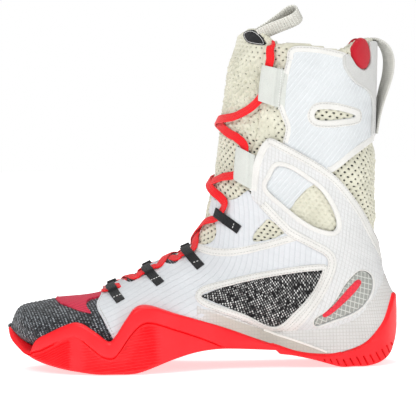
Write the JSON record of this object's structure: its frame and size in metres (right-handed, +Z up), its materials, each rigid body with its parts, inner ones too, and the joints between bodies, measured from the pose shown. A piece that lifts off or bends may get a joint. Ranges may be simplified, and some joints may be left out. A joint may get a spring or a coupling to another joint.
{
  "type": "boxing boot",
  "caption": "Tall lace-up boxing boot for the left foot, with a wave-edged red rubber sole, knit toe, film shells, padded mesh shaft and pull loops.",
  "frame": {"origin": "on the ground under the middle of the heel, where the flat of the heel rubber rests", "axes": "+X towards the heel, so the toe points to -X; -Y towards the lateral (outer) side; +Z up the shaft"},
  "size_m": [0.3007, 0.1146, 0.2838],
  "materials": {
    "red_rubber": "bright red moulded rubber, satin",
    "shank_plastic": "stiff moulded sheet, matt",
    "board_fabric": "pressed fibre board, matt",
    "foam_fabric": "fabric covered foam, matt",
    "marled_knit": "black and white marled knit",
    "cream_mesh": "padded cream mesh with black perforations",
    "ripstop_film": "pale ripstop film, slight sheen",
    "window_film": "grey green film with a white grid",
    "white_trim": "raised off-white welded trim, satin",
    "white_leather": "smooth off-white leather",
    "grey_suede": "light grey suede",
    "black_webbing": "black woven tape",
    "white_webbing": "ribbed off-white tape",
    "red_lace": "flat woven red lace",
    "aglet_plastic": "red heat shrunk tip",
    "red_film": "thin red welded film",
    "red_lining": "red knitted lining"
  },
  "bodies": {
    "foot": {"ball_outsole": "red_rubber", "heel_outsole": "red_rubber", "midsole": "red_rubber", "arch_shank": "shank_plastic", "insole_board": "board_fabric", "sockliner": "foam_fabric", "heel_counter": "shank_plastic", "ball_flex_knit": "marled_knit", "knit_bootie": "marled_knit", "ankle_flex_mesh": "cream_mesh", "vamp_shell": "ripstop_film", "quarter_trim": "white_trim", "instep_strap": "ripstop_film", "ankle_wrap": "ripstop_film", "wrap_trim": "white_trim", "heel_window_film": "window_film", "heel_accent": "red_film", "eyelet_loops": "black_webbing", "instep_loops": "black_webbing", "lace_vamp": "red_lace", "lace_instep": "red_lace", "tongue_base": "cream_mesh"},
    "toe": {"toe_outsole": "red_rubber", "toe_sidewall": "red_rubber", "toe_box_knit": "marled_knit", "toe_overlay": "red_film"},
    "shaft": {"mesh_sock": "cream_mesh", "collar_padding": "foam_fabric", "collar_shell": "ripstop_film", "collar_trim": "white_trim", "heel_tab": "grey_suede", "heel_lining": "red_lining", "heel_pull_loop": "grey_suede", "shin_loops_lower": "white_leather", "shin_loops_upper": "white_leather", "lace_shin": "red_lace", "lace_ends": "red_lace", "aglets": "aglet_plastic", "tongue_shin": "cream_mesh"},
    "tongue_tip": {"tongue_top": "cream_mesh", "tongue_label": "black_webbing"},
    "pull_loop": {"tongue_pull_loop": "white_webbing"}
  },
  "joints": [
    {"name": "ball_flex", "type": "hinge", "parent": "foot", "child": "toe", "pos_m": [-0.18, 0, 0.006], "axis": [0, 1, 0], "range_deg": [0, 24], "stiffness_Nm_per_rad": 2, "deforming": ["ball_flex_knit", "vamp_shell", "insole_board", "sockliner", "lace_vamp"]},
    {"name": "ankle_flex", "type": "hinge", "parent": "foot", "child": "shaft", "pos_m": [-0.036, 0, 0.088], "axis": [0, -1, 0], "range_deg": [-15, 15], "stiffness_Nm_per_rad": 3, "deforming": ["ankle_flex_mesh", "instep_strap", "ankle_wrap", "wrap_trim", "instep_loops", "lace_instep"]},
    {"name": "tongue_swing", "type": "hinge", "parent": "shaft", "child": "tongue_tip", "pos_m": [-0.0945, 0, 0.206], "axis": [0, -1, 0], "range_deg": [0, 35], "stiffness_Nm_per_rad": 0.05},
    {"name": "pull_loop_swing", "type": "hinge", "parent": "tongue_tip", "child": "pull_loop", "pos_m": [-0.0614, -0.0355, 0.2598], "axis": [0, -1, 0], "range_deg": [-12, 15], "stiffness_Nm_per_rad": 0.005}
  ]
}
